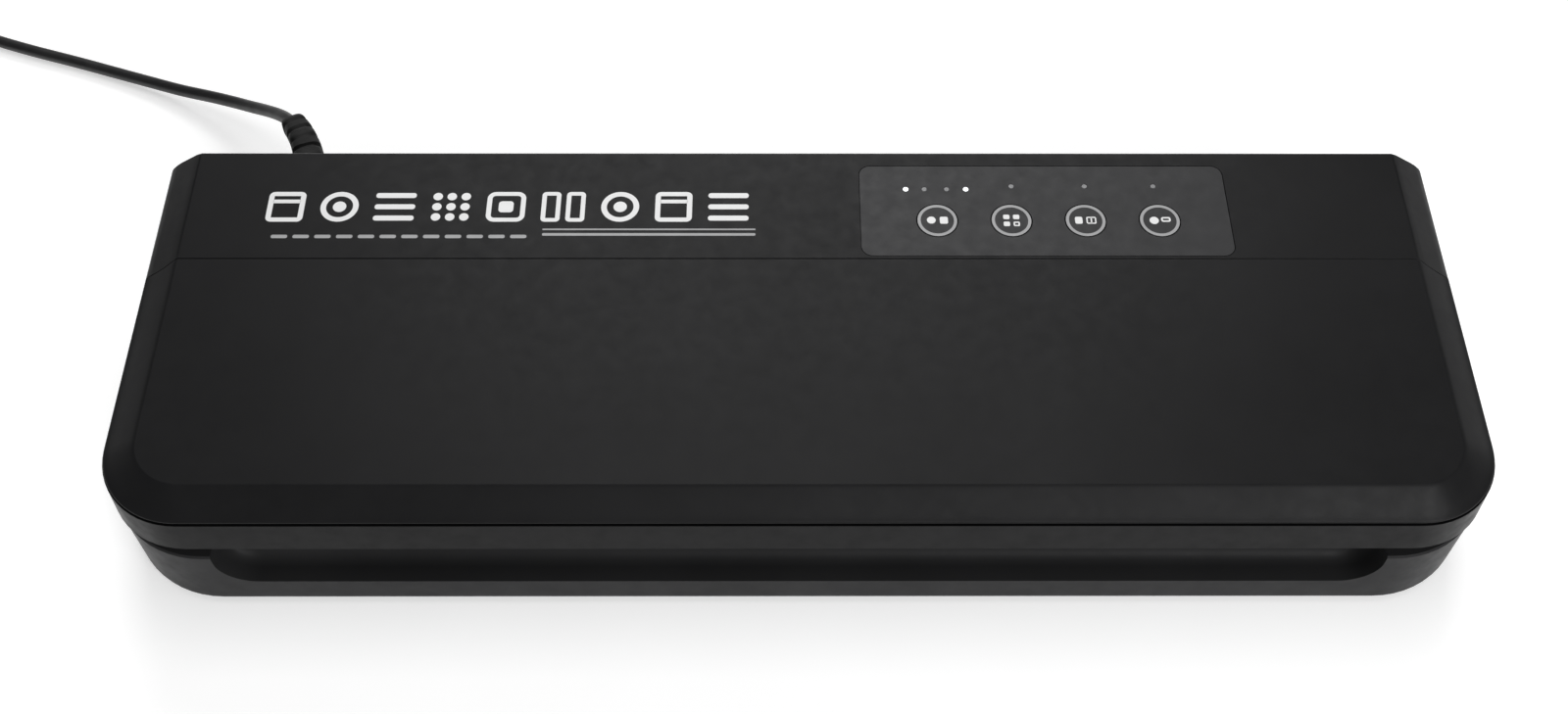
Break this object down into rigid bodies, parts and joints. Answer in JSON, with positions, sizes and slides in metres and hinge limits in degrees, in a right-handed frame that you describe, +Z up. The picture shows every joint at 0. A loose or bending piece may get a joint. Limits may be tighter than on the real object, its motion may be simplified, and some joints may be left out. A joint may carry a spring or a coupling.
{
  "type": "vacuum sealer",
  "caption": "Low, wide household vacuum sealer with a front-hinged lid over a chamber and sealing bar, a fixed rear section with round keys, and a power cord.",
  "frame": {"origin": "centre of the underside, in the plane of the feet, with the cord left out", "axes": "+X to the right seen from the front, +Y to the rear, +Z up"},
  "size_m": [0.5393, 0.228, 0.052],
  "materials": {
    "shell_black": "satin black ABS with a fine moulded texture",
    "frame_black": "satin black ABS",
    "deck_black": "matt black ABS",
    "panel_film": "matt dark grey printed film",
    "lens_white": "diffusing lens",
    "pcb_green": "solder resist",
    "component_dark": "moulded component",
    "led_ivory": "LED body",
    "transformer_yellow": "wound and taped core",
    "capacitor_blue": "sleeved can",
    "relay_blue": "moulded case",
    "steel": "zinc plated steel",
    "ceramic": "ferrite",
    "bronze": "sintered bronze",
    "rotor": "laminations and copper winding",
    "pump_white": "natural nylon",
    "rubber_black": "moulded rubber",
    "hose_clear": "soft silicone",
    "phenolic": "phenolic board",
    "nichrome": "rolled ribbon",
    "ptfe": "PTFE coated glass cloth",
    "foam_black": "closed cell foam",
    "silicone_grey": "silicone",
    "cord_black": "PVC jacket",
    "pin_nickel": "nickel plated"
  },
  "bodies": {
    "base": {"base_shell": "frame_black", "chamber_deck": "deck_black", "rear_cover": "shell_black", "control_panel": "panel_film", "indicator_lenses": "lens_white", "control_board": "pcb_green", "tact_switches": "component_dark", "status_leds": "led_ivory", "power_board": "pcb_green", "transformer": "transformer_yellow", "capacitors": "capacitor_blue", "relay": "relay_blue", "board_screws": "steel", "motor_can": "steel", "motor_end_cap": "pump_white", "motor_magnets": "ceramic", "motor_bushings": "bronze", "pump_crankcase": "pump_white", "pump_diaphragm": "rubber_black", "pump_head": "pump_white", "vacuum_hose": "hose_clear", "pump_mounts": "rubber_black", "heater_bar": "phenolic", "heating_element": "nichrome", "ptfe_tape": "ptfe", "base_gasket": "foam_black", "hinge_pins": "steel", "rubber_feet": "rubber_black", "base_screws": "steel", "release_spring_left": "steel", "release_spring_right": "steel", "cord_strain_relief": "cord_black", "cord_clamp": "frame_black", "power_cord": "cord_black", "cord_coil": "cord_black", "cord_tie": "rubber_black", "plug_body": "cord_black", "plug_pins": "pin_nickel", "plug_relief": "cord_black"},
    "lid": {"lid_shell": "shell_black", "lid_frame": "frame_black", "lid_gasket": "foam_black", "press_strip": "silicone_grey", "latch_hooks": "frame_black", "lid_screws": "steel"},
    "rotor": {"motor_rotor": "rotor", "crank_disc": "steel"},
    "pump_piston": {"pump_yoke": "pump_white"},
    "release_left": {"release_button_left": "frame_black"},
    "release_right": {"release_button_right": "frame_black"},
    "key_mode_cap": {"key_mode": "panel_film"},
    "key_vac_seal_cap": {"key_vac_seal": "panel_film"},
    "key_seal_cap": {"key_seal": "panel_film"},
    "key_vacuum_cap": {"key_vacuum": "panel_film"}
  },
  "joints": [
    {"name": "lid_hinge", "type": "hinge", "parent": "base", "child": "lid", "pos_m": [0, 0.028, 0.046], "axis": [-1, 0, 0], "range_deg": [0, 60]},
    {"name": "motor_spin", "type": "hinge", "parent": "base", "child": "rotor", "pos_m": [0, 0.0425, 0.02], "axis": [1, 0, 0], "continuous": true},
    {"name": "piston_stroke", "type": "slide", "parent": "base", "child": "pump_piston", "axis": [0, 0, 1], "range_m": [-0.002, 0.002], "stiffness_N_per_m": 60, "deforming": ["pump_diaphragm"]},
    {"name": "release_left_press", "type": "slide", "parent": "base", "child": "release_left", "axis": [1, 0, 0], "range_m": [0, 0.0025], "stiffness_N_per_m": 400, "springref_m": -0.002, "deforming": ["release_spring_left"]},
    {"name": "release_right_press", "type": "slide", "parent": "base", "child": "release_right", "axis": [-1, 0, 0], "range_m": [0, 0.0025], "stiffness_N_per_m": 400, "springref_m": -0.002, "deforming": ["release_spring_right"]},
    {"name": "key_mode_press", "type": "slide", "parent": "base", "child": "key_mode_cap", "axis": [0, 0, -1], "range_m": [0, 0.0004], "stiffness_N_per_m": 500, "springref_m": -0.0004},
    {"name": "key_vac_seal_press", "type": "slide", "parent": "base", "child": "key_vac_seal_cap", "axis": [0, 0, -1], "range_m": [0, 0.0004], "stiffness_N_per_m": 500, "springref_m": -0.0004},
    {"name": "key_seal_press", "type": "slide", "parent": "base", "child": "key_seal_cap", "axis": [0, 0, -1], "range_m": [0, 0.0004], "stiffness_N_per_m": 500, "springref_m": -0.0004},
    {"name": "key_vacuum_press", "type": "slide", "parent": "base", "child": "key_vacuum_cap", "axis": [0, 0, -1], "range_m": [0, 0.0004], "stiffness_N_per_m": 500, "springref_m": -0.0004}
  ]
}
